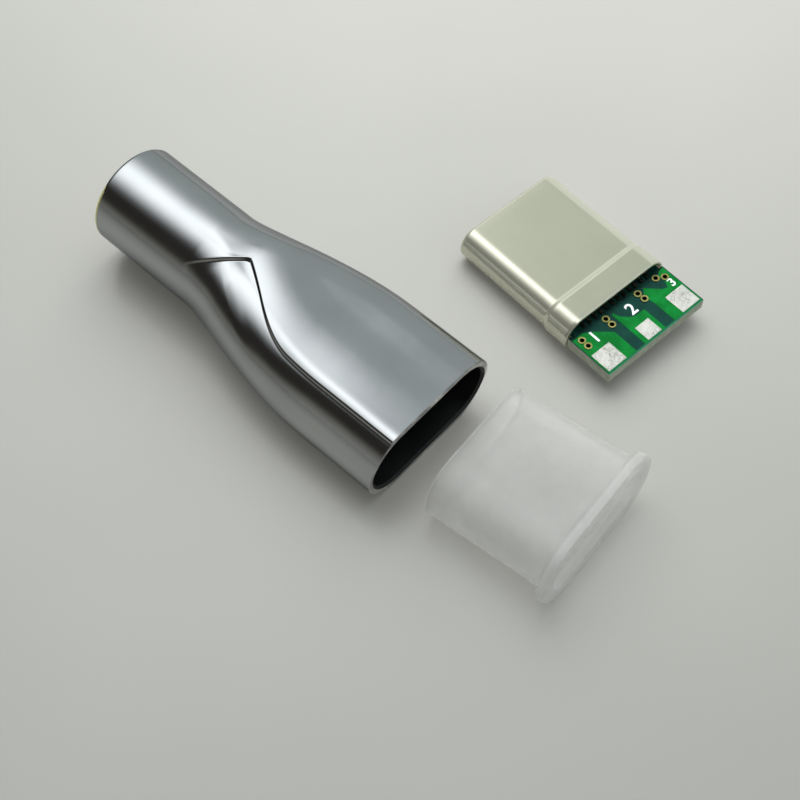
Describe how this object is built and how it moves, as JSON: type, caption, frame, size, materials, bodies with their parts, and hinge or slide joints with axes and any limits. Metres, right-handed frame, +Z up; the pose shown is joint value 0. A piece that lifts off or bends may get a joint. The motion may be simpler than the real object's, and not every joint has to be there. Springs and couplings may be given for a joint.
{
  "type": "usb-c charging connector",
  "caption": "USB-C charging plug for soldering to a cable, in its parts: shelled plug with a solder-pad board, frosted insulating sleeve and flared chromed housing.",
  "frame": {"origin": "middle of the layout's footprint, on the table", "axes": "+X along the housing from its cable end to its mouth, +Y from the housing towards the plug, +Z up from the table"},
  "size_m": [0.036, 0.025, 0.0069],
  "materials": {
    "housing_chrome": "polished dark chrome plating on a zinc casting",
    "sleeve_frost": "frosted translucent moulding",
    "shell_nickel": "satin nickel plating on drawn steel",
    "insulator_black": "black moulding",
    "spring_steel": "bare stainless strip",
    "contact_gold": "gold-plated copper strip",
    "board_green": "green solder mask on glass-filled laminate",
    "pad_tin": "tinned copper",
    "via_gold": "plated hole"
  },
  "bodies": {
    "root": {"metal_housing": "housing_chrome", "insulating_sleeve": "sleeve_frost", "plug_shell": "shell_nickel", "front_insulator": "insulator_black", "upper_carrier": "insulator_black", "lower_carrier": "insulator_black", "latch_plate": "spring_steel", "upper_shield_spring": "spring_steel", "lower_shield_spring": "spring_steel", "contact_a01": "contact_gold", "contact_a02": "contact_gold", "contact_a03": "contact_gold", "contact_a04": "contact_gold", "contact_a05": "contact_gold", "contact_a06": "contact_gold", "contact_a07": "contact_gold", "contact_a08": "contact_gold", "contact_a09": "contact_gold", "contact_a10": "contact_gold", "contact_a11": "contact_gold", "contact_a12": "contact_gold", "contact_b01": "contact_gold", "contact_b02": "contact_gold", "contact_b03": "contact_gold", "contact_b04": "contact_gold", "contact_b05": "contact_gold", "contact_b08": "contact_gold", "contact_b09": "contact_gold", "contact_b10": "contact_gold", "contact_b11": "contact_gold", "contact_b12": "contact_gold", "circuit_board": "board_green", "solder_pad_1": "pad_tin", "solder_pad_2": "pad_tin", "solder_pad_3": "pad_tin", "plated_hole_1": "via_gold", "plated_hole_2": "via_gold", "plated_hole_3": "via_gold", "plated_hole_4": "via_gold", "plated_hole_5": "via_gold", "plated_hole_6": "via_gold", "plated_hole_7": "via_gold", "plated_hole_8": "via_gold"}
  },
  "joints": []
}
